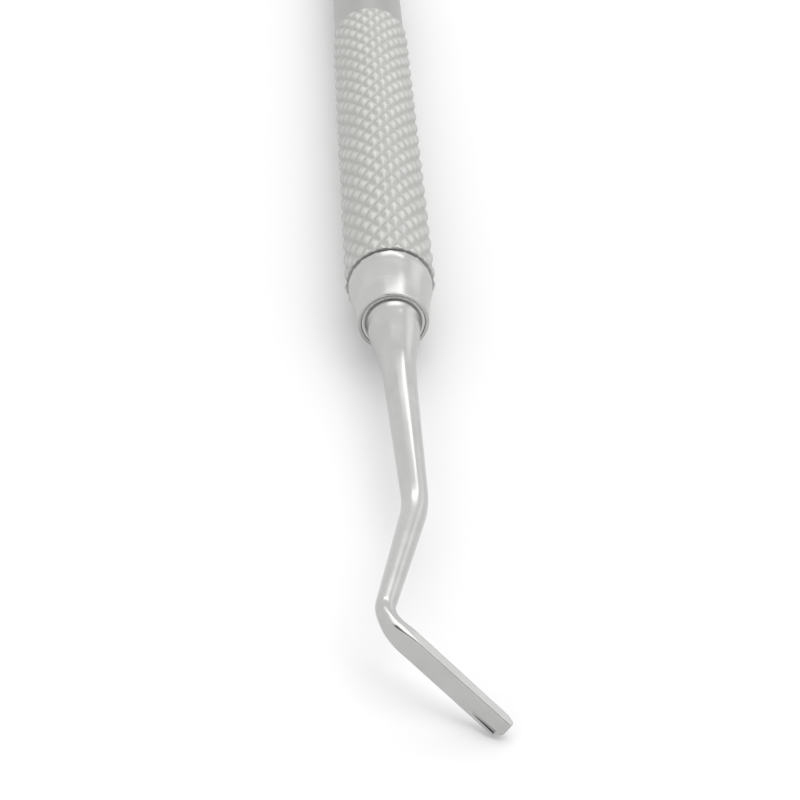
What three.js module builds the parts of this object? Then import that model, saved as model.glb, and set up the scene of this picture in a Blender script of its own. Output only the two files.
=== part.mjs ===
// Double-ended dental elevator: a slim round handle with two knurled grips, and a contra-angled shank
// with a narrow flat blade at each end. It lies on a surface on its grips, both blade tips just clear of it.
// Millimetres. +Z is up, the handle runs along Y, and the front blade points towards -Y and +X.

import * as THREE from 'three';

// ---- Handle -------------------------------------------------------------------------------------
const GRIP_DIAMETER = 7.0;          // over the crests of the knurl
const GRIP_LENGTH = 40.3;
const GRIP_BORE_DIAMETER = 5.4;
const WAIST_DIAMETER = 6.5;         // bare middle of the core, between the grips
const WAIST_LENGTH = 11.0;
const CORE_DIAMETER = 5.2;          // core under the grips
const CORE_BORE_DIAMETER = 3.0;
const SPIGOT_BORE_DIAMETER = 4.2;   // counterbore that takes the collar's spigot
const SPIGOT_DEPTH = 9.0;
const EDGE_BREAK = 0.2;             // small chamfer on turned edges

// ---- Knurl --------------------------------------------------------------------------------------
const KNURL_STARTS = 17;            // diamonds round the grip
const KNURL_ROWS = 20;              // diamonds along the grip
const KNURL_DEPTH = 0.24;
const KNURL_LEAD_IN = 0.25;         // chamfer at each end of the grip

// ---- Collar and joint ---------------------------------------------------------------------------
const COLLAR_LENGTH = 5.1;          // visible nose, from the grip to the collar's front face
const COLLAR_REAR_RADIUS = 3.24;
const COLLAR_BAND = 0.95;           // nearly straight band at the rear, ahead of which the collar tapers
const COLLAR_BAND_RADIUS = 3.2;     // at the band's front
const COLLAR_LIP_RADIUS = 2.68;
const COLLAR_HOLLOW = 2.8;          // length over which the taper flattens out towards the lip
const COLLAR_LIP_ROUND = 0.14;
const COLLAR_BORE_RADIUS = 1.3;
const RECESS_RADIUS = 2.38;         // shallow recess in the collar's front face
const RECESS_DEPTH = 0.7;
const RING_THICKNESS = 0.6;         // braze metal in the bottom of that recess
const SPIGOT_RADIUS = 2.0;
const SPIGOT_LENGTH = 8.6;

// ---- Working end --------------------------------------------------------------------------------
const TANG_RADIUS = 1.15;
const TANG_LENGTH = 10.0;           // from the braze ring back into the collar
const ROOT_FILLET = 0.15;           // rounded shoulder where the shank meets the ring
const SHANK_RADIUS = 1.36;          // straight taper, carried back to the root
const SHANK_TAPER = 0.0228;         // radius lost for each millimetre of length
const ROOT_FLARE = 0.68;            // extra radius at the root
const ROOT_FLARE_LENGTH = 3.65;
const ROOT_FLARE_POWER = 2.6;       // above 2 keeps the root nearly straight at first
const WORKING_ROLL = THREE.MathUtils.degToRad(31);   // the bends lie in a plane rolled by this much

// Corners of the shank's centre line in that plane, as [sideways, forward of the collar's front face].
const FIRST_BEND = [0, 1.5];
const SECOND_BEND = [0.56, 20.2];
const ELBOW = [-2.6, 31.75];
const TIP = [5.74, 37.38];
const FIRST_BEND_RADIUS = 30;
const SECOND_BEND_RADIUS = 9;
const ELBOW_RADIUS = 1.7;

// ---- Blade --------------------------------------------------------------------------------------
const BLADE_LENGTH = Math.hypot(TIP[0] - ELBOW[0], TIP[1] - ELBOW[1]);
const BLADE_WIDTH = 1.52;
const BLADE_FRONT_ROOT = 0.55;      // centre line to the flat working face, at the elbow
const BLADE_FRONT_TIP = 0.4;        // and at the end, so the blade thins evenly
const BLADE_BACK = 0.42;            // centre line to the slightly crowned back
const BLADE_BLEND = 2.0;            // length over which the round shank turns into the blade
const UPPER_CORNER = 0.1;           // rounded corners of the blade's end
const LOWER_CORNER = 0.5;
const NOSE_RELIEF = 0.22;           // the nose is narrower than the blade on its lower edge
const NOSE_LENGTH = 0.52;
const BEVEL_LENGTH = 2.0;           // small bevel ground along the lower edge behind the nose
const BEVEL_WIDTH = 0.26;

// ---- Fits and facets ----------------------------------------------------------------------------
const JOINT_GAP = 0.1;
const FACE_GAP = 0.1;
const TURNED_SEGMENTS = 34;
const RING_POINTS = 18;
const FLAT_POINTS = 5;              // points of each section that lie on the working face

const HALF_WAIST = WAIST_LENGTH / 2;
const GRIP_END = HALF_WAIST + GRIP_LENGTH;
const COLLAR_FACE = GRIP_END + COLLAR_LENGTH;
const GRIP_RADIUS = GRIP_DIAMETER / 2;

const steel = (name, colour, roughness) => {
  const material = new THREE.MeshStandardMaterial({ color: colour, roughness, metalness: 1 });
  material.name = name;
  return material;
};
const satinSteel = steel('satin_steel', 0xb9b9b6, 0.34);
const polishedSteel = steel('polished_steel', 0xc4c4c2, 0.2);
const knurledSteel = steel('knurled_steel', 0xb2b3ad, 0.4);
const brazeMetal = steel('braze_metal', 0x5b5954, 0.55);

// ---- Geometry helpers ---------------------------------------------------------------------------

function signedVolume(positions, index) {
  const a = new THREE.Vector3();
  const b = new THREE.Vector3();
  const c = new THREE.Vector3();
  let volume = 0;
  for (let i = 0; i < index.length; i += 3) {
    a.fromArray(positions, 3 * index[i]);
    b.fromArray(positions, 3 * index[i + 1]);
    c.fromArray(positions, 3 * index[i + 2]);
    volume += a.dot(b.cross(c)) / 6;
  }
  return volume;
}

// A closed body from vertices and triangles, with its faces turned outwards.
function solid(positions, index) {
  if (signedVolume(positions, index) < 0) {
    for (let i = 0; i < index.length; i += 3) {
      [index[i + 1], index[i + 2]] = [index[i + 2], index[i + 1]];
    }
  }
  const geometry = new THREE.BufferGeometry();
  geometry.setAttribute('position', new THREE.Float32BufferAttribute(positions, 3));
  geometry.setIndex(index);
  geometry.computeVertexNormals();
  return geometry;
}

// A ring turned about Y. The profile is a list of [radius, y] that runs up the outside and down the bore.
function turned(profile) {
  const points = profile.map(([radius, y]) => new THREE.Vector2(radius, y));
  points.push(points[0].clone());
  return new THREE.LatheGeometry(points, TURNED_SEGMENTS);
}

// Turned pieces are drawn for the +Y end. The front ones are the same pieces turned end for end.
function place(mesh, atFront) {
  mesh.rotation.z = atFront ? Math.PI : 0;
  return mesh;
}

function named(name, geometry, material) {
  const mesh = new THREE.Mesh(geometry, material);
  mesh.name = name;
  return mesh;
}

// ---- Handle core: the tube that carries everything ----------------------------------------------

function handleCore() {
  const end = GRIP_END - FACE_GAP;
  const outer = WAIST_DIAMETER / 2;
  const under = CORE_DIAMETER / 2;
  const bore = CORE_BORE_DIAMETER / 2;
  const counterbore = SPIGOT_BORE_DIAMETER / 2;
  const profile = [
    [under - EDGE_BREAK, -end],
    [under, -end + EDGE_BREAK],
    [under, -HALF_WAIST],
    [outer - EDGE_BREAK, -HALF_WAIST],
    [outer, -HALF_WAIST + EDGE_BREAK],
    [outer, HALF_WAIST - EDGE_BREAK],
    [outer - EDGE_BREAK, HALF_WAIST],
    [under, HALF_WAIST],
    [under, end - EDGE_BREAK],
    [under - EDGE_BREAK, end],
    [counterbore, end],
    [counterbore, end - SPIGOT_DEPTH],
    [bore, end - SPIGOT_DEPTH],
    [bore, -end + SPIGOT_DEPTH],
    [counterbore, -end + SPIGOT_DEPTH],
    [counterbore, -end],
  ];
  return named('handle_core', turned(profile), satinSteel);
}

// ---- Grip sleeve: crests and grooves of a diamond knurl on a tube -------------------------------

// The grid has a vertex on each crest and on each crossing of two grooves. Every square of it is
// split along its groove, so each diamond is a four-sided pyramid.
function gripSleeve() {
  const columns = 2 * KNURL_STARTS;
  const rows = 2 * KNURL_ROWS;
  const start = HALF_WAIST + FACE_GAP;
  const length = GRIP_END - start;
  const grooveRadius = GRIP_RADIUS - KNURL_DEPTH;
  const positions = [];
  const index = [];
  const addRow = (y, radiusAt) => {
    for (let column = 0; column < columns; column += 1) {
      const angle = (2 * Math.PI * column) / columns;
      const radius = radiusAt(column);
      positions.push(radius * Math.sin(angle), y, radius * Math.cos(angle));
    }
  };
  addRow(start, () => GRIP_BORE_DIAMETER / 2);
  addRow(start, () => grooveRadius - KNURL_DEPTH / 2);
  for (let row = 0; row <= rows; row += 1) {
    const along = (length - 2 * KNURL_LEAD_IN) * (row / rows);
    addRow(start + KNURL_LEAD_IN + along, (column) => {
      const onCrest = (row + column) % 2 === 0;
      return onCrest ? GRIP_RADIUS : grooveRadius;
    });
  }
  addRow(GRIP_END, () => grooveRadius - KNURL_DEPTH / 2);
  addRow(GRIP_END, () => GRIP_BORE_DIAMETER / 2);
  const rowCount = rows + 5;
  for (let row = 0; row < rowCount; row += 1) {
    for (let column = 0; column < columns; column += 1) {
      const next = (column + 1) % columns;
      const a = row * columns + column;
      const b = row * columns + next;
      const c = ((row + 1) % rowCount) * columns + next;
      const d = ((row + 1) % rowCount) * columns + column;
      if ((row + column) % 2 === 0) {
        index.push(a, b, d, b, c, d);
      } else {
        index.push(a, b, c, a, c, d);
      }
    }
  }
  return solid(positions, index);
}

// ---- Collar: turned nose with a spigot that is pressed into the core ----------------------------

// Radius of the hollow taper at a distance ahead of the rear band.
function taperRadius(ahead) {
  const whole = COLLAR_LENGTH - FACE_GAP - COLLAR_BAND;
  const left = (distance) => Math.exp(-distance / COLLAR_HOLLOW);
  const share = (left(ahead) - left(whole)) / (1 - left(whole));
  return COLLAR_LIP_RADIUS + (COLLAR_BAND_RADIUS - COLLAR_LIP_RADIUS) * share;
}

function collar() {
  const shoulder = GRIP_END + FACE_GAP;
  const band = shoulder + COLLAR_BAND;
  const taper = [0, 0.8, 1.7, 2.7].map((ahead) => [taperRadius(ahead), band + ahead]);
  const profile = [
    [SPIGOT_RADIUS - EDGE_BREAK, shoulder - SPIGOT_LENGTH],
    [SPIGOT_RADIUS, shoulder - SPIGOT_LENGTH + EDGE_BREAK],
    [SPIGOT_RADIUS, shoulder],
    [COLLAR_REAR_RADIUS - EDGE_BREAK, shoulder],
    [COLLAR_REAR_RADIUS, shoulder + EDGE_BREAK],
    ...taper,
    [COLLAR_LIP_RADIUS, COLLAR_FACE - COLLAR_LIP_ROUND],
    [COLLAR_LIP_RADIUS - COLLAR_LIP_ROUND, COLLAR_FACE],
    [RECESS_RADIUS, COLLAR_FACE],
    [RECESS_RADIUS, COLLAR_FACE - RECESS_DEPTH],
    [COLLAR_BORE_RADIUS, COLLAR_FACE - RECESS_DEPTH],
    [COLLAR_BORE_RADIUS, shoulder - SPIGOT_LENGTH],
  ];
  return turned(profile);
}

function brazeRing() {
  const rear = COLLAR_FACE - RECESS_DEPTH + JOINT_GAP / 2;
  const front = rear + RING_THICKNESS;
  const inner = COLLAR_BORE_RADIUS;
  const outer = RECESS_RADIUS - JOINT_GAP / 2;
  const profile = [
    [outer, rear],
    [outer, front],
    [(inner + outer) / 2, front - 0.06],
    [inner, front - 0.04],
    [inner, rear],
  ];
  return turned(profile);
}

// ---- Working end: tang, tapered shank and blade in one forging -----------------------------------

// A path through the corners with a tangent arc of the given radius at each inner one.
function bentPath(corners, radii) {
  const points = corners.map(([x, y]) => new THREE.Vector2(x, y));
  const path = new THREE.CurvePath();
  let from = points[0];
  for (let i = 1; i < points.length - 1; i += 1) {
    const corner = points[i];
    const before = corner.clone().sub(points[i - 1]).normalize();
    const after = points[i + 1].clone().sub(corner).normalize();
    const turn = before.cross(after);
    const bend = Math.acos(before.dot(after));
    const reach = radii[i - 1] * Math.tan(bend / 2);
    const arcStart = corner.clone().addScaledVector(before, -reach);
    const arcEnd = corner.clone().addScaledVector(after, reach);
    const side = Math.sign(turn);
    const inward = new THREE.Vector2(-before.y, before.x).multiplyScalar(side);
    const centre = arcStart.clone().addScaledVector(inward, radii[i - 1]);
    const startAngle = Math.atan2(arcStart.y - centre.y, arcStart.x - centre.x);
    path.add(new THREE.LineCurve(from, arcStart));
    path.add(new THREE.EllipseCurve(
      centre.x, centre.y, radii[i - 1], radii[i - 1],
      startAngle, startAngle + side * bend, side < 0,
    ));
    from = arcEnd;
  }
  path.add(new THREE.LineCurve(from, points[points.length - 1]));
  return path;
}

// Radius of the round shank at a distance along it from the braze ring.
function shankRadius(distance) {
  const flare = ROOT_FLARE * Math.exp(-((distance / ROOT_FLARE_LENGTH) ** ROOT_FLARE_POWER));
  const radius = SHANK_RADIUS - SHANK_TAPER * distance + flare;
  const short = Math.max(ROOT_FILLET - distance, 0);
  return radius - ROOT_FILLET + Math.sqrt(ROOT_FILLET ** 2 - short ** 2);
}

// How far the blade's edge draws in, near a rounded corner, at a distance from the blade's end.
function cornerInset(toEnd, radius) {
  const short = Math.max(radius - toEnd, 0);
  return radius - Math.sqrt(radius ** 2 - short ** 2);
}

// Distance from the centre line out to the working face, which is one plane along the blade.
function workingFace(toEnd) {
  const along = toEnd / BLADE_LENGTH;
  return THREE.MathUtils.lerp(BLADE_FRONT_TIP, BLADE_FRONT_ROOT, along);
}

// One section as [up, outward] points: first across the working face, then round the back.
function section(radius, shape, toEnd) {
  const points = [];
  const flatHalfAngle = Math.PI / 3;
  const onNose = toEnd < NOSE_LENGTH;
  const bevelled = !onNose && toEnd < NOSE_LENGTH + BEVEL_LENGTH;
  const upper = BLADE_WIDTH / 2 - cornerInset(toEnd, UPPER_CORNER);
  const lowerBack = -BLADE_WIDTH / 2 + cornerInset(toEnd, LOWER_CORNER) + (onNose ? NOSE_RELIEF : 0);
  const lowerFront = lowerBack + (bevelled ? BEVEL_WIDTH : 0);
  const front = workingFace(toEnd);
  for (let i = 0; i < RING_POINTS; i += 1) {
    let angle;
    let up;
    let outward;
    if (i < FLAT_POINTS) {
      const across = i / (FLAT_POINTS - 1);
      angle = -flatHalfAngle + 2 * flatHalfAngle * across;
      up = lowerFront + (upper - lowerFront) * across;
      outward = front;
    } else {
      const round = (i - FLAT_POINTS + 1) / (RING_POINTS - FLAT_POINTS + 1);
      angle = flatHalfAngle + 2 * (Math.PI - flatHalfAngle) * round;
      const side = Math.cos(Math.PI * round);
      const width = (upper - lowerBack) / 2;
      up = (upper + lowerBack) / 2 + width * Math.sign(side) * Math.abs(side) ** 0.3;
      outward = front - (front + BLADE_BACK) * Math.sin(Math.PI * round) ** 0.7;
    }
    points.push([
      THREE.MathUtils.lerp(radius * Math.sin(angle), up, shape),
      THREE.MathUtils.lerp(radius * Math.cos(angle), outward, shape),
    ]);
  }
  return points;
}

// Skins the sections into one closed body.
function loft(rings) {
  const positions = rings.flat(2);
  const index = [];
  const count = rings[0].length;
  for (let ring = 0; ring < rings.length - 1; ring += 1) {
    for (let i = 0; i < count; i += 1) {
      const next = (i + 1) % count;
      const a = ring * count + i;
      const b = ring * count + next;
      index.push(a, b, b + count, a, b + count, a + count);
    }
  }
  const last = (rings.length - 1) * count;
  for (let i = 1; i < count - 1; i += 1) {
    index.push(0, i + 1, i);
    index.push(last, last + i, last + i + 1);
  }
  return solid(positions, index);
}

function workingEnd(forward) {
  const ringFace = RECESS_DEPTH - RING_THICKNESS - JOINT_GAP;
  const rootStart = [0, -ringFace + JOINT_GAP];
  const path = bentPath(
    [rootStart, FIRST_BEND, SECOND_BEND, ELBOW, TIP],
    [FIRST_BEND_RADIUS, SECOND_BEND_RADIUS, ELBOW_RADIUS],
  );
  const total = path.getLength();
  const bladeLength = path.curves[path.curves.length - 1].getLength();
  const elbowEnd = total - bladeLength;

  const up = new THREE.Vector3(Math.sin(WORKING_ROLL), 0, Math.cos(WORKING_ROLL));
  const sideways = new THREE.Vector3(Math.cos(WORKING_ROLL), 0, -Math.sin(WORKING_ROLL));
  const ahead = new THREE.Vector3(0, forward, 0);
  const origin = new THREE.Vector3(0, forward * COLLAR_FACE, 0);

  const ringAt = (point, tangent, sectionPoints) => sectionPoints.map(([rise, outward]) => {
    const vertex = origin.clone();
    vertex.addScaledVector(sideways, point.x - outward * tangent.y);
    vertex.addScaledVector(ahead, point.y + outward * tangent.x);
    vertex.addScaledVector(up, rise);
    return vertex.toArray();
  });

  const rings = [];
  const tangRing = (back, radius) => {
    const point = new THREE.Vector2(0, rootStart[1] - back);
    rings.push(ringAt(point, new THREE.Vector2(0, 1), section(radius, 0, total)));
  };
  tangRing(TANG_LENGTH, TANG_RADIUS - EDGE_BREAK);
  tangRing(TANG_LENGTH - EDGE_BREAK, TANG_RADIUS);
  tangRing(0, TANG_RADIUS);

  const blendStart = elbowEnd - BLADE_BLEND * 0.65;
  const stations = [
    0, 0.1, 0.35, 1, 2, 3, 4, 5.2, 6.8, 9, 12, 15, 18, 19, 20, 21, 22, 25, 28,
  ];
  const arcLength = path.curves[5].getLength();
  for (let i = 0; i <= 8; i += 1) {
    stations.push(elbowEnd - arcLength + (arcLength * i) / 8);
  }
  const bevelStart = total - NOSE_LENGTH - BEVEL_LENGTH;
  stations.push(elbowEnd + BLADE_BLEND * 0.15, elbowEnd + BLADE_BLEND * 0.35);
  stations.push((elbowEnd + bevelStart) / 2);
  const step = 0.05;
  stations.push(bevelStart - step, bevelStart + step);
  stations.push(total - NOSE_LENGTH - step, total - NOSE_LENGTH + step);
  for (const share of [0.75, 0.5, 0.3, 0.15, 0.05, 0]) {
    stations.push(total - LOWER_CORNER * share);
  }

  for (const distance of stations) {
    const t = distance / total;
    const shape = THREE.MathUtils.smoothstep(distance, blendStart, blendStart + BLADE_BLEND);
    const radius = shankRadius(distance);
    const points = section(radius, shape, total - distance);
    rings.push(ringAt(path.getPointAt(t), path.getTangentAt(t), points));
  }
  return loft(rings);
}

// ---- Assembly -----------------------------------------------------------------------------------

const assembly = new THREE.Group();
assembly.add(handleCore());
for (const atFront of [true, false]) {
  const end = atFront ? 'front' : 'rear';
  assembly.add(place(named(`${end}_grip_sleeve`, gripSleeve(), knurledSteel), atFront));
  assembly.add(place(named(`${end}_collar`, collar(), polishedSteel), atFront));
  assembly.add(place(named(`${end}_braze_ring`, brazeRing(), brazeMetal), atFront));
  assembly.add(named(`${end}_working_end`, workingEnd(atFront ? -1 : 1), satinSteel));
}

// The origin is under the middle of the whole object, on the surface that it lies on.
const box = new THREE.Box3().setFromObject(assembly, true);
assembly.position.set(-(box.min.x + box.max.x) / 2, 0, -box.min.z);

const part = new THREE.Group();
part.add(assembly);
export default part;
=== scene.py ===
"""Looks of a double-ended dental elevator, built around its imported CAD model.

Every piece is drawn in millimetres about the handle's axis, with +Y along the handle and +Z up,
and is then put into the frame in metres. Turned pieces and grips are drawn for the +Y end; the
front ones are the same pieces turned end for end. The two working ends are mirror images.
"""

import math

import bpy
import numpy as np
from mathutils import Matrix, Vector


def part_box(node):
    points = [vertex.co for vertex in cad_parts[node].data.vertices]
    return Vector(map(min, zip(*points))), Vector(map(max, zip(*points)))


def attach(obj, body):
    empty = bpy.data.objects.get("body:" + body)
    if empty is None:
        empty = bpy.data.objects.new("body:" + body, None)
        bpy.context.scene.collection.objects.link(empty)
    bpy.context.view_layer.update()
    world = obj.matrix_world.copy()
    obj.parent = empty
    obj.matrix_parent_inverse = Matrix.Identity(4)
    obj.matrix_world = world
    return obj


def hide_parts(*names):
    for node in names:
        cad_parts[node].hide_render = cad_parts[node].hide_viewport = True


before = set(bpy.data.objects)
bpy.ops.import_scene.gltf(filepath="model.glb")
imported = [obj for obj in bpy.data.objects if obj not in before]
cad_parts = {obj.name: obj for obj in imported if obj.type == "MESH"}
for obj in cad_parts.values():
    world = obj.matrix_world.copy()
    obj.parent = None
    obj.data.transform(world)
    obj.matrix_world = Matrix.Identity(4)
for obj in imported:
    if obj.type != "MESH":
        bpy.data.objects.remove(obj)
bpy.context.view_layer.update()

# ---- Places taken from the frame ------------------------------------------------------------------
MM = 0.001


def span_along(node):
    """Where a node starts and ends along the handle, in millimetres."""
    low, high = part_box(node)
    return low.y / MM, high.y / MM


core_low, core_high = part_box("handle_core")
AXIS_X = (core_low.x + core_high.x) / 2
AXIS_Z = (core_low.z + core_high.z) / 2
CORE_RADIUS = (core_high.x - core_low.x) / 2 / MM
CORE_END = span_along("handle_core")[1]
GRIP_START, GRIP_END = span_along("rear_grip_sleeve")
COLLAR_TAIL, COLLAR_FACE = span_along("rear_collar")
RING_REAR, RING_FRONT = span_along("rear_braze_ring")
GRIP_RADIUS = AXIS_Z / MM
JOINT_GAP = 0.1             # between the grips and the core's bare middle
COLLAR_GAP = 0.05           # between a grip and its collar
SEAM = 0.01                 # round the braze metal

# ---- Handle -----------------------------------------------------------------------------------------
SLEEVE_BORE = 2.7
CORE_UNDER = 2.6            # outside, under the sleeves
CORE_BORE = 1.5
SPIGOT_BORE = 2.1           # takes a collar's spigot
SPIGOT_DEPTH = 9.0

# ---- Knurl ------------------------------------------------------------------------------------------
KNURL_STARTS = 17
KNURL_ROWS = 20
KNURL_DEPTH = 0.16
KNURL_CELLS = 12            # mesh cells along each side of a diamond's pitch
GROOVE_HALF_WIDTH = 0.40    # in pitches
PAD_CROWN = 0.03            # how much higher a diamond is in its middle
RIM_CHAMFER = 0.10
RIM_STEP = 0.06             # how far the rim's flat face starts below the grooves
RIM_SHADE = 0.6             # how much of the grooves' painted shade the rims' faces and the bore have

# ---- Collar -----------------------------------------------------------------------------------------
COLLAR_REAR = 3.24
COLLAR_BAND = 0.95          # nearly straight band at the rear
COLLAR_BAND_RADIUS = 3.2    # where the band meets the taper
COLLAR_LIP = 2.68
COLLAR_HOLLOW = 2.8         # length over which the taper flattens out towards the lip
COLLAR_TAPER = 3.8          # curved length of the taper, which then runs straight to the lip
COLLAR_BORE = 1.3
RECESS_RADIUS = 2.38
RECESS_DEPTH = 0.7
SPIGOT_RADIUS = 2.0
BRAZE_DISH = 0.03           # how far the braze metal's face sinks in
BRAZE_DISH_EDGE = 0.3       # width of its raised edge

# ---- Working end ------------------------------------------------------------------------------------
# Places are (sideways, ahead of the collar's face) in the plane of the bends.
TANG_RADIUS = 1.15
TANG_LENGTH = 10.0
TANG_CHAMFER = 0.2
TANG_GAP = 0.05             # from the tang's last ring to the root
ROOT_FILLET = 0.08
SHANK_RADIUS = 1.35
SHANK_TAPER = 0.0228        # radius lost with each mm of length
ROOT_FLARE = 0.68
ROOT_FLARE_LENGTH = 3.65
ROOT_FLARE_POWER = 2.2      # above 2 keeps the root nearly straight at first
ROOT_SHOULDER = 0.18        # short cone where the shank leaves the ring
ROOT_SHOULDER_LENGTH = 0.7
ROOT_SHOULDER_POWER = 1.15  # 1 would make it straight
FLARE_END = 7               # finer rings are drawn up to here
WORKING_ROLL = math.radians(31)     # turn of that plane about the handle
FIRST_BEND = (0, 1.5)
SECOND_BEND = (0.56, 20.2)
ELBOW = (-2.6, 31.75)
TIP = (5.74, 37.38)
BEND_RADII = (30, 9, 1.7)

# ---- Blade ------------------------------------------------------------------------------------------
BLADE_HALF_WIDTH = 0.76
BLADE_FRONT_ROOT = 0.55     # from the middle to the ground face, at the elbow and at the tip
BLADE_FRONT_TIP = 0.40
BLADE_BACK = 0.40
BACK_ROUND = 0.30
BLADE_BLEND = 2.4           # length over which the round shank turns into the blade
BLEND_EARLY = 0.55          # share of that before the elbow's end
UNCUT_CORNER = 0.57         # large rounding along its upper front edge, which runs out past the elbow
CUT_SHARE = 0.23            # how much of that rounding the ground face takes away
RUN_OUT = 2.0               # length over which it shrinks to the ground corner
GROUND_CORNER = 0.1
CUT_SOFTNESS = 0.03         # where the round shank meets the ground face
BLADE_RIDGE = 0.13          # rounding of the face's edges
TIP_RIDGE = 0.19            # the same at the tip
TIP_RIDGE_REACH = (0.5, 3.5)    # distances from the end over which it fades out
BACK_RUN = 0.8              # the back curves in towards the end over this length
BACK_DROP = 0.45
BACK_ROUND_SHARE = 0.45     # its rounding is at most this share of the thickness
UPPER_CORNER = 0.10         # roundings of the end's two corners, seen from the front
LOWER_CORNER = 0.55
NOSE_RELIEF = 0.22          # the nose is narrower than the blade on its lower edge
NOSE_LENGTH = 0.48
NOSE_STEP = (-0.05, 0.02)   # where the relief runs out, about the nose's length
GROOVE_LENGTH = 2.1         # fine groove along the lower edge behind the nose
GROOVE_INSET = 0.33
GROOVE_WIDTH = 0.15         # half of it, where it is widest
GROOVE_TAIL = 0.06          # half of it, where it runs out
GROOVE_FADE = 0.6           # below 1 keeps it deep for most of its length
GROOVE_SIDES = 0.8          # below 1 makes it fuller than a V
GROOVE_DEPTH = 0.11
RIM_WIDTH = 0.20            # the face falls away slightly at the very end
RIM_DROP = 0.05
END_ROUND = 0.03
NO_LIMIT = 9.0              # stands for no ground face
LEAST_FACING = 0.2          # where the section faces the ground plane less than this, it isn't cut

TURNED_SEGMENTS = 192
OUTLINE_POINTS = 96         # on each half of a working end's section


# ---- Mesh helpers -----------------------------------------------------------------------------------

def new_piece(name, points, faces, material, node, sharp_angle=40, weighted=True):
    """A closed piece from points in millimetres about the handle's axis, standing for a CAD node."""
    mesh = bpy.data.meshes.new(name)
    shifted = [(x * MM + AXIS_X, y * MM, z * MM + AXIS_Z) for x, y, z in points]
    mesh.from_pydata(shifted, [], faces)
    mesh.shade_smooth()
    mesh.set_sharp_from_angle(angle=math.radians(sharp_angle))
    mesh.materials.append(material)
    piece = bpy.data.objects.new(name, mesh)
    bpy.context.scene.collection.objects.link(piece)
    if weighted:
        normals = piece.modifiers.new("even_normals", "WEIGHTED_NORMAL")
        normals.keep_sharp = True
        normals.weight = 100
    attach(piece, "root")
    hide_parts(node)
    return piece


def store(piece, name, values, kind="FLOAT"):
    """A number or a direction for each vertex, for the material to read."""
    attribute = piece.data.attributes.new(name, kind, "POINT")
    attribute.data.foreach_set("value" if kind == "FLOAT" else "vector", values)


def rounded(corners, steps=6):
    """A closed outline of (radius, y) points with each corner (radius, y, fillet) rounded off."""
    outline = []
    count = len(corners)
    for i, (radius, y, fillet) in enumerate(corners):
        corner = Vector((radius, y))
        to_last = Vector(corners[i - 1][:2]) - corner
        to_next = Vector(corners[(i + 1) % count][:2]) - corner
        if fillet == 0:
            outline.append(tuple(corner))
            continue
        half = to_last.angle(to_next) / 2
        reach = min(fillet / math.tan(half), 0.49 * to_last.length, 0.49 * to_next.length)
        true_radius = reach * math.tan(half)
        middle = (to_last.normalized() + to_next.normalized()).normalized()
        centre = corner + middle * (true_radius / math.sin(half))
        start = corner + to_last.normalized() * reach - centre
        end = corner + to_next.normalized() * reach - centre
        turn = start.angle(end)
        side = 1 if start.x * end.y - start.y * end.x > 0 else -1
        for step in range(steps + 1):
            angle = side * turn * step / steps
            c, s = math.cos(angle), math.sin(angle)
            outline.append((centre.x + c * start.x - s * start.y, centre.y + s * start.x + c * start.y))
    return outline


def lathe(outline, at_front):
    """Points and faces of a ring turned about the handle's axis. The outline runs up the outside."""
    facing = -1 if at_front else 1
    points = []
    for k in range(TURNED_SEGMENTS):
        angle = 2 * math.pi * k / TURNED_SEGMENTS
        for radius, y in outline:
            points.append((facing * radius * math.sin(angle), facing * y, radius * math.cos(angle)))
    faces = []
    count = len(outline)
    for k in range(TURNED_SEGMENTS):
        here, there = k * count, (k + 1) % TURNED_SEGMENTS * count
        for i in range(count):
            j = (i + 1) % count
            faces.append((here + i, here + j, there + j, there + i))
    return points, faces


# ---- Materials --------------------------------------------------------------------------------------

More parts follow.
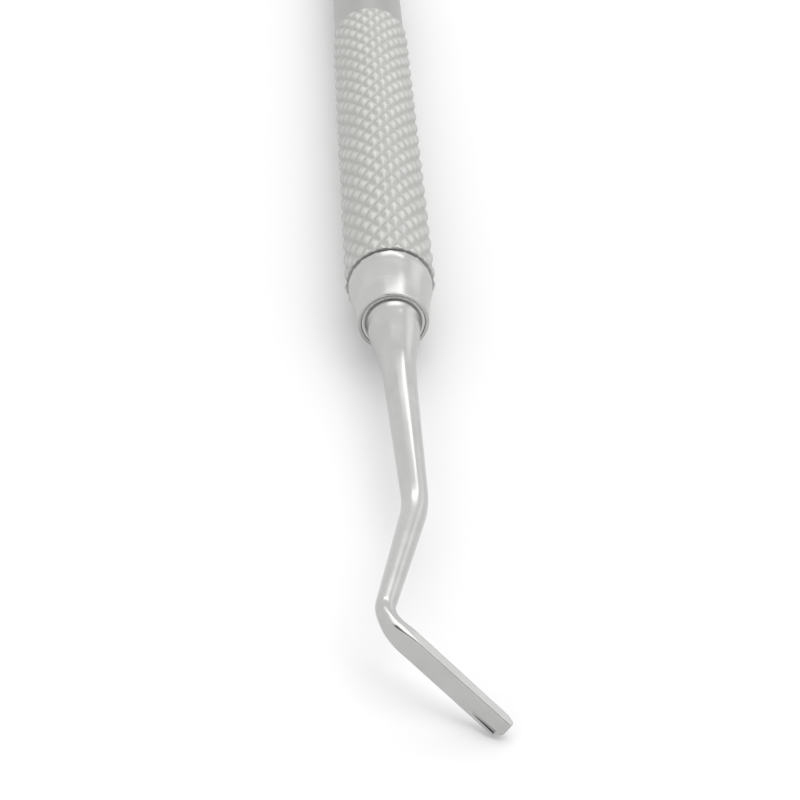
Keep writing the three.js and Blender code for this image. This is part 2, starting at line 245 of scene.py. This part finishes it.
class Nodes:
    """A material's node tree with short calls for what the steels share."""

    def __init__(self, name):
        self.material = bpy.data.materials.new(name)
        self.material.use_nodes = True
        self.tree = self.material.node_tree
        self.shader = self.tree.nodes["Principled BSDF"]

    def add(self, kind, **values):
        node = self.tree.nodes.new(kind)
        for key, value in values.items():
            setattr(node, key, value)
        return node

    def link(self, output, socket):
        self.tree.links.new(output, socket)

    def coordinates(self, scale):
        """The object's own coordinates, stretched by a scale for each axis."""
        source = self.add("ShaderNodeTexCoord")
        mapping = self.add("ShaderNodeMapping")
        mapping.inputs["Scale"].default_value = scale
        self.link(source.outputs["Object"], mapping.inputs["Vector"])
        return mapping.outputs["Vector"]

    def noise(self, vector, scale, detail=3.0, roughness=0.55):
        node = self.add("ShaderNodeTexNoise")
        node.inputs["Scale"].default_value = scale
        node.inputs["Detail"].default_value = detail
        node.inputs["Roughness"].default_value = roughness
        self.link(vector, node.inputs["Vector"])
        return node.outputs["Fac"]

    def spread(self, value, low, high, start=0.3, end=0.7):
        """Maps start..end of a value to low..high."""
        node = self.add("ShaderNodeMapRange")
        node.inputs["From Min"].default_value = start
        node.inputs["From Max"].default_value = end
        node.inputs["To Min"].default_value = low
        node.inputs["To Max"].default_value = high
        self.link(value, node.inputs["Value"])
        return node.outputs["Result"]

    def maths(self, operation, a, b):
        node = self.add("ShaderNodeMath", operation=operation)
        for socket, value in zip(node.inputs, (a, b)):
            if isinstance(value, (int, float)):
                socket.default_value = value
            else:
                self.link(value, socket)
        return node.outputs["Value"]

    def blend(self, factor, low, high):
        """A colour between two, each a colour or a socket."""
        node = self.add("ShaderNodeMix", data_type="RGBA")
        self.link(factor, node.inputs["Factor"])
        colour_a = next(s for s in node.inputs if s.name == "A" and s.type == "RGBA")
        colour_b = next(s for s in node.inputs if s.name == "B" and s.type == "RGBA")
        for socket, value in ((colour_a, low), (colour_b, high)):
            if isinstance(value, tuple):
                socket.default_value = (*value, 1)
            else:
                self.link(value, socket)
        return next(s for s in node.outputs if s.type == "RGBA")

    def attribute(self, name):
        return self.add("ShaderNodeAttribute", attribute_name=name).outputs["Fac"]

    def bump(self, height, distance):
        node = self.add("ShaderNodeBump")
        node.inputs["Strength"].default_value = 1.0
        node.inputs["Distance"].default_value = distance
        self.link(height, node.inputs["Height"])
        self.link(node.outputs["Normal"], self.shader.inputs["Normal"])


def steel(name, dull, bright, roughness, lines, line_depth, spread_round, follow=None):
    """Brushed or turned stainless steel. lines stretches the fine marks along each axis.

    spread_round stretches highlights round the piece, across the handle's direction or across the
    heading stored under the name in follow.
    """
    nodes = Nodes(name)
    nodes.shader.inputs["Metallic"].default_value = 1.0
    cloud = nodes.noise(nodes.coordinates((1, 1, 1)), 420, detail=4.0)
    marks = nodes.noise(nodes.coordinates(lines), 1.0, detail=5.0, roughness=0.7)
    specks = nodes.noise(nodes.coordinates((1, 1, 1)), 5200, detail=2.0)
    nodes.link(nodes.blend(nodes.spread(cloud, 0, 1), dull, bright), nodes.shader.inputs["Base Color"])
    low, high = roughness
    rough = nodes.spread(marks, low, high)
    rough = nodes.maths("ADD", rough, nodes.spread(cloud, -0.02, 0.03))
    nodes.link(rough, nodes.shader.inputs["Roughness"])
    surface = nodes.maths("ADD", nodes.maths("MULTIPLY", marks, 0.8), nodes.maths("MULTIPLY", specks, 0.2))
    nodes.bump(surface, line_depth)
    across = nodes.add("ShaderNodeVectorMath", operation="CROSS_PRODUCT")
    nodes.link(nodes.add("ShaderNodeNewGeometry").outputs["Normal"], across.inputs[0])
    if follow:
        heading = nodes.add("ShaderNodeAttribute", attribute_name=follow)
        nodes.link(heading.outputs["Vector"], across.inputs[1])
    else:
        across.inputs[1].default_value = (0, 1, 0)
    nodes.link(across.outputs["Vector"], nodes.shader.inputs["Tangent"])
    nodes.shader.inputs["Anisotropic"].default_value = spread_round
    return nodes.material


def turned_steel():
    """Collar: bright, with fine turning rings."""
    return steel(
        "turned_steel",
        dull=(0.44, 0.44, 0.43),
        bright=(0.50, 0.50, 0.49),
        roughness=(0.21, 0.27),
        lines=(60, 14000, 60),
        line_depth=0.5e-6,
        spread_round=0.4,
    )


def core_steel():
    """Bare middle of the handle: satin, with turning rings. Its colour is a little darker than the other
    steels', which is painted shade.
    """
    return steel(
        "core_steel",
        # Darker colours than the other steels: painted shade.
        dull=(0.33, 0.33, 0.325),
        bright=(0.37, 0.37, 0.36),
        roughness=(0.28, 0.38),
        lines=(50, 11000, 50),
        line_depth=1.5e-6,
        spread_round=0.0,
    )


def satin_steel():
    """Shank and blade: polished lengthwise."""
    return steel(
        "satin_steel",
        dull=(0.44, 0.44, 0.435),
        bright=(0.49, 0.49, 0.485),
        roughness=(0.19, 0.23),
        lines=(5200, 260, 5200),
        line_depth=0.15e-6,
        spread_round=0.5,
        follow="heading",
    )


def knurl_steel():
    """Grips: rougher down in the grooves, and coloured darker there than on the crests, which is painted
    shade.
    """
    nodes = Nodes("knurl_steel")
    nodes.shader.inputs["Metallic"].default_value = 1.0
    depth = nodes.attribute("groove")
    cloud = nodes.noise(nodes.coordinates((1, 1, 1)), 500, detail=4.0)
    grain = nodes.noise(nodes.coordinates((1, 1, 1)), 9000, detail=3.0)
    crest = nodes.blend(nodes.spread(cloud, 0, 1), (0.49, 0.495, 0.48), (0.56, 0.555, 0.545))
    # Darker colour in the grooves and on the rims' faces: painted shade.
    colour = nodes.blend(depth, crest, (0.44, 0.44, 0.425))
    nodes.link(colour, nodes.shader.inputs["Base Color"])
    rough = nodes.maths("ADD", nodes.spread(depth, 0.48, 0.58, 0.0, 1.0), nodes.spread(grain, -0.04, 0.05))
    nodes.link(rough, nodes.shader.inputs["Roughness"])
    nodes.bump(grain, 3.0e-6)
    return nodes.material


def braze_metal():
    """Filler between the collar and the shank. It is pale, and looks dark only down in the recess."""
    nodes = Nodes("braze_metal")
    nodes.shader.inputs["Metallic"].default_value = 1.0
    cloud = nodes.noise(nodes.coordinates((1, 1, 1)), 2600, detail=5.0)
    nodes.link(nodes.blend(nodes.spread(cloud, 0, 1), (0.68, 0.675, 0.66), (0.76, 0.755, 0.74)),
               nodes.shader.inputs["Base Color"])
    nodes.link(nodes.spread(cloud, 0.34, 0.5), nodes.shader.inputs["Roughness"])
    nodes.bump(cloud, 1.2e-5)
    return nodes.material


# ---- Handle core ------------------------------------------------------------------------------------

def handle_core(material):
    """The tube that carries everything. Its bare middle shows between the grips."""
    corners = [
        (CORE_UNDER, -CORE_END, 0.15),
        (CORE_UNDER, -GRIP_START + JOINT_GAP, 0.05),
        (CORE_RADIUS, -GRIP_START + JOINT_GAP, 0.18),
        (CORE_RADIUS, GRIP_START - JOINT_GAP, 0.18),
        (CORE_UNDER, GRIP_START - JOINT_GAP, 0.05),
        (CORE_UNDER, CORE_END, 0.15),
        (SPIGOT_BORE, CORE_END, 0.1),
        (SPIGOT_BORE, CORE_END - SPIGOT_DEPTH, 0.1),
        (CORE_BORE, CORE_END - SPIGOT_DEPTH, 0.1),
        (CORE_BORE, -CORE_END + SPIGOT_DEPTH, 0.1),
        (SPIGOT_BORE, -CORE_END + SPIGOT_DEPTH, 0.1),
        (SPIGOT_BORE, -CORE_END, 0.1),
    ]
    points, faces = lathe(rounded(corners), at_front=False)
    return new_piece("bare_core", points, faces, material, "handle_core")


# ---- Grips ------------------------------------------------------------------------------------------

def groove_depth(turns, rows):
    """How deep the two families of grooves cut at a place counted in diamonds: 0 on top, 1 at a bottom."""
    depth = 0.0
    for phase in (turns + rows, turns - rows):
        away = abs(phase - round(phase)) / GROOVE_HALF_WIDTH
        if away < 1:
            depth = max(depth, 0.5 + 0.5 * math.cos(math.pi * away))
    return depth


def pad_crown(turns, rows):
    """How far the rounded top of a diamond has fallen away from its middle: 0 there, 1 at its corners."""
    fall = 0.0
    for phase in (turns + rows, turns - rows):
        away = abs(phase - math.floor(phase) - 0.5) * 2
        fall += away * away / 2
    return fall


def grip(at_front, material):
    """A sleeve with a diamond knurl. Grooves run out through both rims and notch them."""
    facing = -1 if at_front else 1
    columns = KNURL_STARTS * KNURL_CELLS
    rows = KNURL_ROWS * KNURL_CELLS
    length = GRIP_END - GRIP_START
    points, grooves, faces = [], [], []

    def add_ring(y, radius_at):
        for column in range(columns):
            angle = 2 * math.pi * column / columns
            radius, groove = radius_at(column / KNURL_CELLS)
            points.append((facing * radius * math.sin(angle), facing * y, radius * math.cos(angle)))
            grooves.append(groove)

    def knurled(along, chamfer):
        def radius_at(turns):
            groove = groove_depth(turns, along)
            radius = GRIP_RADIUS - KNURL_DEPTH * groove - PAD_CROWN * pad_crown(turns, along)
            return min(radius, GRIP_RADIUS - chamfer), groove
        return radius_at

    # Plain faces take part of the grooves' painted shade.
    def plain(radius):
        return lambda turns: (radius, RIM_SHADE)

    rim = GRIP_RADIUS - KNURL_DEPTH - RIM_STEP
    add_ring(GRIP_START, plain(SLEEVE_BORE))
    add_ring(GRIP_START, plain(rim))
    add_ring(GRIP_START, knurled(0, RIM_CHAMFER))
    for row in range(rows + 1):
        y = GRIP_START + length * row / rows
        edge = min(y - GRIP_START, GRIP_END - y)
        if edge < 1e-6:
            continue
        add_ring(y, knurled(KNURL_ROWS * row / rows, max(RIM_CHAMFER - edge, 0)))
    add_ring(GRIP_END, knurled(KNURL_ROWS, RIM_CHAMFER))
    add_ring(GRIP_END, plain(rim))
    add_ring(GRIP_END, plain(SLEEVE_BORE))
    rings = len(points) // columns
    for ring in range(rings):
        for column in range(columns):
            a = ring * columns + column
            b = ring * columns + (column + 1) % columns
            c = (ring + 1) % rings * columns + (column + 1) % columns
            d = (ring + 1) % rings * columns + column
            rising = abs((column + ring) % KNURL_CELLS - KNURL_CELLS / 2)
            falling = abs((column - ring) % KNURL_CELLS - KNURL_CELLS / 2)
            if rising > falling:
                faces += [(a, d, b), (b, d, c)]
            else:
                faces += [(a, c, b), (a, d, c)]
    name = "front_knurled_grip" if at_front else "rear_knurled_grip"
    node = "front_grip_sleeve" if at_front else "rear_grip_sleeve"
    piece = new_piece(name, points, faces, material, node, sharp_angle=60, weighted=False)
    store(piece, "groove", grooves)
    return piece


# ---- Collars and braze rings ------------------------------------------------------------------------

def taper_radius(ahead):
    """Radius of the collar's hollow taper at a distance ahead of its rear band."""
    whole = COLLAR_FACE - GRIP_END - COLLAR_GAP - COLLAR_BAND
    steepness = math.exp(-ahead / COLLAR_HOLLOW) - math.exp(-whole / COLLAR_HOLLOW)
    share = steepness / (1 - math.exp(-whole / COLLAR_HOLLOW))
    return COLLAR_LIP + (COLLAR_BAND_RADIUS - COLLAR_LIP) * share


def collar(at_front, material):
    """Turned nose: short band, hollow taper, rounded lip, recess and bore, and the hidden spigot."""
    shoulder = GRIP_END + COLLAR_GAP
    band = shoulder + COLLAR_BAND
    taper = [(taper_radius(ahead), band + ahead, 0) for ahead in np.linspace(0, COLLAR_TAPER, 20)]
    corners = [
        (SPIGOT_RADIUS, COLLAR_TAIL, 0.2),
        (SPIGOT_RADIUS, shoulder, 0.05),
        (COLLAR_REAR, shoulder, 0.12),
        *taper,
        (COLLAR_LIP, COLLAR_FACE, 0.14),
        (RECESS_RADIUS, COLLAR_FACE, 0.06),
        (RECESS_RADIUS, COLLAR_FACE - RECESS_DEPTH, 0.08),
        (COLLAR_BORE, COLLAR_FACE - RECESS_DEPTH, 0.05),
        (COLLAR_BORE, COLLAR_TAIL, 0.1),
    ]
    points, faces = lathe(rounded(corners, steps=8), at_front)
    name = "front_turned_collar" if at_front else "rear_turned_collar"
    node = "front_collar" if at_front else "rear_collar"
    return new_piece(name, points, faces, material, node)


def braze_ring(at_front, material):
    """Filler metal that has flowed into the recess, with a slightly dished face."""
    inner = COLLAR_BORE
    outer = RECESS_RADIUS - SEAM
    corners = [
        (outer, RING_REAR, 0.03),
        (outer, RING_FRONT, 0.03),
        (outer - BRAZE_DISH_EDGE, RING_FRONT - BRAZE_DISH, 0.4),
        (inner, RING_FRONT - BRAZE_DISH / 2, 0.03),
        (inner, RING_REAR, 0.03),
    ]
    points, faces = lathe(rounded(corners), at_front)
    name = "front_braze_fillet" if at_front else "rear_braze_fillet"
    node = "front_braze_ring" if at_front else "rear_braze_ring"
    return new_piece(name, points, faces, material, node)


# ---- Working ends -----------------------------------------------------------------------------------

def bent_path(corners, radii):
    """Straight and round stretches through the corners, as (length, place and heading at a distance)."""
    points = [Vector(c) for c in corners]
    stretches = []
    start = points[0]
    for i, radius in enumerate(radii, start=1):
        before = (points[i] - points[i - 1]).normalized()
        after = (points[i + 1] - points[i]).normalized()
        bend = before.angle(after)
        side = 1 if before.x * after.y - before.y * after.x > 0 else -1
        reach = radius * math.tan(bend / 2)
        arc_start = points[i] - before * reach
        stretches.append(straight(start, arc_start))
        stretches.append(arc(arc_start, before, side, radius, bend))
        start = points[i] + after * reach
    stretches.append(straight(start, points[-1]))
    return stretches


def straight(start, end):
    heading = (end - start).normalized()
    return (end - start).length, lambda s: (start + heading * s, heading)


def arc(start, heading, side, radius, bend):
    inward = Vector((-heading.y, heading.x)) * side
    centre = start + inward * radius

    def at(s):
        turn = s / radius
        place = centre - inward * (radius * math.cos(turn)) + heading * (radius * math.sin(turn))
        return place, heading * math.cos(turn) + inward * math.sin(turn)
    return radius * bend, at


def along_path(stretches, distance):
    for length, at in stretches:
        if distance <= length:
            return at(distance)
        distance -= length
    length, at = stretches[-1]
    return at(length)


def smoothstep(value, low, high):
    """0 below low and 1 above high, with a smooth change between. It takes a number or an array."""
    t = np.clip((value - low) / (high - low), 0, 1)
    return t * t * (3 - 2 * t)


def lerp(a, b, t):
    return a + (b - a) * t


def shank_radius(distance):
    """Radius of the round shank at a distance from the braze ring: a taper with a flared root."""
    flare = ROOT_FLARE * math.exp(-((distance / ROOT_FLARE_LENGTH) ** ROOT_FLARE_POWER))
    shoulder = ROOT_SHOULDER * max(1 - distance / ROOT_SHOULDER_LENGTH, 0) ** ROOT_SHOULDER_POWER
    radius = SHANK_RADIUS - SHANK_TAPER * distance + flare + shoulder
    short = max(ROOT_FILLET - distance, 0)
    return radius - ROOT_FILLET + math.sqrt(ROOT_FILLET ** 2 - short ** 2)


def quarter_inset(distance, radius):
    """How far a rounded corner has drawn in at a distance from the end."""
    short = max(radius - distance, 0)
    return radius - math.sqrt(radius ** 2 - short ** 2)


def soft_limit(values, limit, softness):
    """Values kept under a limit, with the change rounded off over the given softness."""
    reach = np.clip((values - limit + softness) / (2 * softness), 0, 1)
    return np.where(values > limit + softness, limit, values - softness * reach * reach)


def rounded_over(up, outward, width):
    """The half outline with its corners rounded off over a width, by a moving average along it."""
    length = np.concatenate([[0], np.cumsum(np.hypot(np.diff(up), np.diff(outward)))])
    step = 0.006
    places = np.arange(0, length[-1], step)
    up, outward = np.interp(places, length, up), np.interp(places, length, outward)
    reach = max(int(round(width / 2 / step)), 1)
    kernel = np.hanning(2 * reach + 3)[1:-1]
    kernel /= kernel.sum()
    # The outline is mirrored beyond both ends, because the other half of the section goes on there.
    up = np.concatenate([-up[reach:0:-1], up, -up[-2:-reach - 2:-1]])
    outward = np.concatenate([outward[reach:0:-1], outward, outward[-2:-reach - 2:-1]])
    return np.convolve(up, kernel, "valid"), np.convolve(outward, kernel, "valid")


def half_outline(half_width, front, back, front_round, back_round, face_limit, ridge, groove=None):
    """Half a section, from the middle of its front to the middle of its back, as (up, outward) rows.

    face_limit is where the ground face cuts it, ridge the width over which its edges are rounded, and
    groove an optional (inset from the edge, half width, depth).
    """
    front_round = min(front_round, half_width)
    back_round = min(back_round, half_width, front + back - front_round)
    steps = 40
    quarter = np.linspace(0, math.pi / 2, steps)
    front_flat = np.linspace(0, half_width - front_round, steps)[:-1]
    back_flat = np.linspace(half_width - back_round, 0, steps)[1:]
    side = np.linspace(front - front_round, -back + back_round, steps)[1:-1]
    up = np.concatenate([
        front_flat,
        half_width - front_round + front_round * np.sin(quarter),
        np.full(side.shape, half_width),
        half_width - back_round + back_round * np.cos(quarter),
        back_flat,
    ])
    outward = np.concatenate([
        np.full(front_flat.shape, front),
        front - front_round + front_round * np.cos(quarter),
        side,
        -back + back_round - back_round * np.sin(quarter),
        np.full(back_flat.shape, -back),
    ])
    outward = soft_limit(outward, face_limit, CUT_SOFTNESS)
    up, outward = rounded_over(up, outward, ridge)
    if groove:
        inset, groove_width, depth = groove
        away = np.clip(np.abs(up - (half_width - inset)) / groove_width, 0, 1)
        on_face = outward > face_limit - 1.2 * ridge
        outward = outward - np.where(on_face, depth * (1 - away) ** GROOVE_SIDES, 0)
    length = np.concatenate([[0], np.cumsum(np.hypot(np.diff(up), np.diff(outward)) * dense(up, outward))])
    wanted = np.linspace(0, length[-1], OUTLINE_POINTS)
    return np.interp(wanted, length, up), np.interp(wanted, length, outward)


def dense(up, outward):
    """Weights that put three times as many points near the front edges as elsewhere."""
    edge = smoothstep(up[1:], 0.3, 0.5) * smoothstep(outward[1:], -0.2, 0.1)
    return 1 + 2 * edge


def spaced(start, end, count):
    """Evenly spaced distances from start to end, without start itself."""
    return list(np.linspace(start, end, count)[1:])


def working_end(at_front, material):
    """Tang, tapered shank, elbow and flat blade in one forging, with a flat ground along its front."""
    forward = -1 if at_front else 1
    root = -(COLLAR_FACE - RING_FRONT) + SEAM
    stretches = bent_path([(0, root), FIRST_BEND, SECOND_BEND, ELBOW, TIP], BEND_RADII)
    total = sum(length for length, _ in stretches)
    elbow_end = total - stretches[-1][0]
    elbow_start = elbow_end - stretches[-2][0]
    blend_start = elbow_end - BLEND_EARLY * BLADE_BLEND
    blade_length = (Vector(TIP) - Vector(ELBOW)).length
    blade_heading = (Vector(TIP) - Vector(ELBOW)).normalized()
    blade_outward = Vector((-blade_heading.y, blade_heading.x))

    # The ground face is one plane. It leans in a little, so that the blade thins towards its end.
    lean = (BLADE_FRONT_ROOT - BLADE_FRONT_TIP) / blade_length
    face_normal = (blade_outward + blade_heading * lean).normalized()
    face_point = Vector(TIP) + blade_outward * BLADE_FRONT_TIP

    def face_limit(place, outward):
        """How far out from a place on the path the ground face is."""
        facing = outward.dot(face_normal)
        if facing < LEAST_FACING:
            return NO_LIMIT
        return (face_point - place).dot(face_normal) / facing

    def section(distance, place, outward):
        """The upper and lower halves of the section at a distance along the path."""
        shape = smoothstep(distance, blend_start, blend_start + BLADE_BLEND)
        to_end = total - distance
        radius = shank_radius(distance)
        limit = face_limit(place, outward)
        back = lerp(radius, BLADE_BACK, shape)
        back_round = lerp(radius, BACK_ROUND, shape)
        corner = lerp(UNCUT_CORNER, GROUND_CORNER, smoothstep(distance, elbow_end, elbow_end + RUN_OUT))
        upper_round = lerp(radius, corner, shape)
        front = lerp(radius, min(limit, BLADE_FRONT_ROOT) + CUT_SHARE * corner, shape)
        lower_round = lerp(radius, GROUND_CORNER, shape)
        if to_end < BACK_RUN:
            back -= BACK_DROP * (1 - math.sqrt(1 - (1 - to_end / BACK_RUN) ** 2))
            back_round = min(back_round, BACK_ROUND_SHARE * (limit + back))
        end_inset = quarter_inset(to_end, END_ROUND)
        limit -= end_inset + RIM_DROP * max(1 - to_end / RIM_WIDTH, 0) ** 2
        back -= end_inset
        half_width = lerp(radius, BLADE_HALF_WIDTH, shape) - end_inset
        upper_width = half_width - quarter_inset(to_end, UPPER_CORNER)
        relief = NOSE_RELIEF * (1 - smoothstep(to_end - NOSE_LENGTH, *NOSE_STEP))
        lower_width = half_width - quarter_inset(to_end, LOWER_CORNER) - relief
        ridge = lerp(TIP_RIDGE, BLADE_RIDGE, smoothstep(to_end, *TIP_RIDGE_REACH))
        groove = None
        if NOSE_LENGTH <= to_end < NOSE_LENGTH + GROOVE_LENGTH:
            grown = 1 - (to_end - NOSE_LENGTH) / GROOVE_LENGTH
            groove_width = lerp(GROOVE_TAIL, GROOVE_WIDTH, grown)
            groove = (GROOVE_INSET, groove_width, GROOVE_DEPTH * grown ** GROOVE_FADE)
        upper = half_outline(upper_width, front, back, upper_round, back_round, limit, ridge)
        lower = half_outline(lower_width, front, back, lower_round, back_round, limit, ridge, groove)
        return upper, lower

    up = Vector((math.sin(WORKING_ROLL), 0, math.cos(WORKING_ROLL)))
    sideways = Vector((math.cos(WORKING_ROLL), 0, -math.sin(WORKING_ROLL)))
    ahead = Vector((0, forward, 0))
    origin = ahead * COLLAR_FACE

    points, headings = [], []

    def add_ring(place, heading, halves):
        outward = Vector((-heading.y, heading.x))
        (upper_up, upper_out), (lower_up, lower_out) = halves
        ups = np.concatenate([upper_up, -lower_up[-2:0:-1]])
        outs = np.concatenate([upper_out, lower_out[-2:0:-1]])
        for rise, out in zip(ups, outs):
            spot = place + outward * float(out)
            points.append(tuple(origin + sideways * spot.x + ahead * spot.y + up * float(rise)))
            headings.extend(sideways * heading.x + ahead * heading.y)

    def round_halves(radius):
        half = half_outline(radius, radius, radius, radius, radius, NO_LIMIT, BLADE_RIDGE)
        return half, half

    straight_ahead = Vector((0, 1))
    tang = [
        (TANG_LENGTH, TANG_RADIUS - TANG_CHAMFER),
        (TANG_LENGTH - TANG_CHAMFER, TANG_RADIUS),
        (TANG_GAP, TANG_RADIUS),
    ]
    for back, radius in tang:
        add_ring(Vector((0, root - back)), straight_ahead, round_halves(radius))

    # Rings lie closest together through the elbow and on the nose.
    before_elbow = elbow_start - 0.6
    past_elbow = elbow_end + 1.6
    nose_start = total - NOSE_LENGTH - 0.1
    stations = [ROOT_FILLET * (1 - math.cos(math.pi / 2 * k / 8)) for k in range(9)]
    stations += spaced(ROOT_FILLET, FLARE_END, 24)
    stations += spaced(FLARE_END, before_elbow, 50)
    stations += spaced(before_elbow, past_elbow, 90)
    stations += spaced(past_elbow, nose_start, 80)
    stations += spaced(nose_start, total - END_ROUND, 40)
    stations += [total - END_ROUND * (1 - math.sin(math.pi / 2 * k / 4)) for k in range(1, 5)]
    for distance in stations:
        place, heading = along_path(stretches, distance)
        outward = Vector((-heading.y, heading.x))
        add_ring(place, heading, section(distance, place, outward))

    count = 2 * OUTLINE_POINTS - 2
    rings = len(points) // count
    faces = []
    for ring in range(rings - 1):
        for i in range(count):
            j = (i + 1) % count
            quad = (ring * count + i, ring * count + j, (ring + 1) * count + j, (ring + 1) * count + i)
            faces.append(quad if at_front else quad[::-1])
    first_cap = tuple(range(count))
    last_cap = tuple((rings - 1) * count + i for i in range(count))
    faces.append(first_cap[::-1] if at_front else first_cap)
    faces.append(last_cap if at_front else last_cap[::-1])
    name = "front_shank_and_blade" if at_front else "rear_shank_and_blade"
    node = "front_working_end" if at_front else "rear_working_end"
    piece = new_piece(name, points, faces, material, node, sharp_angle=50)
    store(piece, "heading", headings, "FLOAT_VECTOR")
    return piece


# ---- Stage, lights and camera -----------------------------------------------------------------------

CAMERA_PLACE = (-0.0060911, -0.158969, 0.082082)
CAMERA_DOWN = math.radians(38.444)      # below the horizon
CAMERA_HEADING = math.radians(2.9785)   # from the handle's direction towards +X
CAMERA_LENS = 80.607

SKY = 1.12                              # strength of the sky all round
GLOW_CENTRE = (0.33, -0.02, 0.94)
GLOW_SPREAD = (15, 34)                  # degrees: full inside, gone outside
GLOW = 1.2                              # added to the sky
DARK_CENTRE = (0.04, -0.58, 0.81)
DARK_SPREAD = (22, 26)
DARK_LEVEL = 0.03                       # share of the sky that is left
AREA_LIGHTS = {
    # Strip along the tops of the collar and the shank.
    "low_key": dict(azimuth=8, elevation=40.3, distance=0.9, width=0.60, height=0.095, watts=0.44),
    # Bright patch where the shank's root leaves the ring.
    "high_key": dict(azimuth=6, elevation=71, distance=0.9, width=0.60, height=0.14, watts=0.30),
    # Upper edge of the blade and the right-hand sides.
    "panel": dict(azimuth=64, elevation=18, distance=1.0, width=0.7, height=0.45, watts=0.32),
}
FLOOR_HALF_WIDTH = 3.0                  # metres
FLOOR_DROP = 0.00002                    # keeps the floor clear of the grips
FLOOR_GREY = 0.865
FLOOR_ROUGHNESS = 0.7


def make_camera():
    data = bpy.data.cameras.new("camera")
    data.lens = CAMERA_LENS
    data.sensor_width = 36
    data.clip_start = 0.005
    data.clip_end = 20
    camera = bpy.data.objects.new("camera", data)
    camera.location = CAMERA_PLACE
    camera.rotation_euler = (math.pi / 2 - CAMERA_DOWN, 0, -CAMERA_HEADING)
    bpy.context.scene.collection.objects.link(camera)
    bpy.context.scene.camera = camera


def make_floor():
    """A plain white table top just under the object."""
    half = FLOOR_HALF_WIDTH
    sides = ((-half, -half), (half, -half), (half, half), (-half, half))
    corners = [(x, y, -FLOOR_DROP) for x, y in sides]
    mesh = bpy.data.meshes.new("floor")
    mesh.from_pydata(corners, [], [(0, 1, 2, 3)])
    material = bpy.data.materials.new("pale_floor")
    material.use_nodes = True
    shader = material.node_tree.nodes["Principled BSDF"]
    shader.inputs["Base Color"].default_value = (FLOOR_GREY, FLOOR_GREY, FLOOR_GREY, 1)
    shader.inputs["Roughness"].default_value = FLOOR_ROUGHNESS
    mesh.materials.append(material)
    floor = bpy.data.objects.new("floor", mesh)
    bpy.context.scene.collection.objects.link(floor)


def area_light(name, azimuth, elevation, distance, width, height, watts):
    """A soft box aimed at the origin. Azimuth is turned from +Y towards +X."""
    data = bpy.data.lights.new(name, "AREA")
    data.shape = "RECTANGLE"
    data.size = width
    data.size_y = height
    data.energy = watts
    light = bpy.data.objects.new(name, data)
    a, e = math.radians(azimuth), math.radians(elevation)
    direction = Vector((math.sin(a) * math.cos(e), math.cos(a) * math.cos(e), math.sin(e)))
    light.location = direction * distance
    light.rotation_mode = "QUATERNION"
    light.rotation_quaternion = direction.to_track_quat("Z", "Y")
    light.visible_camera = False
    bpy.context.scene.collection.objects.link(light)


def make_sky():
    """A pale room with a glow overhead, and a dark place where the photographer leans in."""
    world = bpy.data.worlds.new("studio")
    world.use_nodes = True
    tree = world.node_tree
    direction = tree.nodes.new("ShaderNodeTexCoord").outputs["Generated"]

    def patch(centre, spread, outside, inside):
        """One value round a direction and another elsewhere, with a smooth change between two angles."""
        towards = tree.nodes.new("ShaderNodeVectorMath")
        towards.operation = "DOT_PRODUCT"
        tree.links.new(direction, towards.inputs[0])
        towards.inputs[1].default_value = Vector(centre).normalized()
        full, gone = (math.cos(math.radians(angle)) for angle in spread)
        ramp = tree.nodes.new("ShaderNodeMapRange")
        ramp.interpolation_type = "SMOOTHSTEP"
        values = {"From Min": gone, "From Max": full, "To Min": outside, "To Max": inside}
        for name, value in values.items():
            ramp.inputs[name].default_value = value
        tree.links.new(towards.outputs["Value"], ramp.inputs["Value"])
        return ramp.outputs["Result"]

    glow = patch(GLOW_CENTRE, GLOW_SPREAD, SKY, SKY + GLOW)
    clear = patch(DARK_CENTRE, DARK_SPREAD, 1.0, DARK_LEVEL)
    strength = tree.nodes.new("ShaderNodeMath")
    strength.operation = "MULTIPLY"
    tree.links.new(glow, strength.inputs[0])
    tree.links.new(clear, strength.inputs[1])
    background = tree.nodes["Background"]
    background.inputs["Color"].default_value = (1, 1, 1, 1)
    tree.links.new(strength.outputs["Value"], background.inputs["Strength"])
    bpy.context.scene.world = world


def make_lights():
    make_sky()
    for name, setting in AREA_LIGHTS.items():
        area_light(name, **setting)


# ---- Assembly ---------------------------------------------------------------------------------------

def build():
    collar_steel = turned_steel()
    grip_steel = knurl_steel()
    blade_steel = satin_steel()
    filler = braze_metal()
    handle_core(core_steel())
    for at_front in (True, False):
        grip(at_front, grip_steel)
        collar(at_front, collar_steel)
        braze_ring(at_front, filler)
        working_end(at_front, blade_steel)


make_camera()
make_floor()
make_lights()
build()
bpy.context.scene.view_settings.view_transform = "Standard"
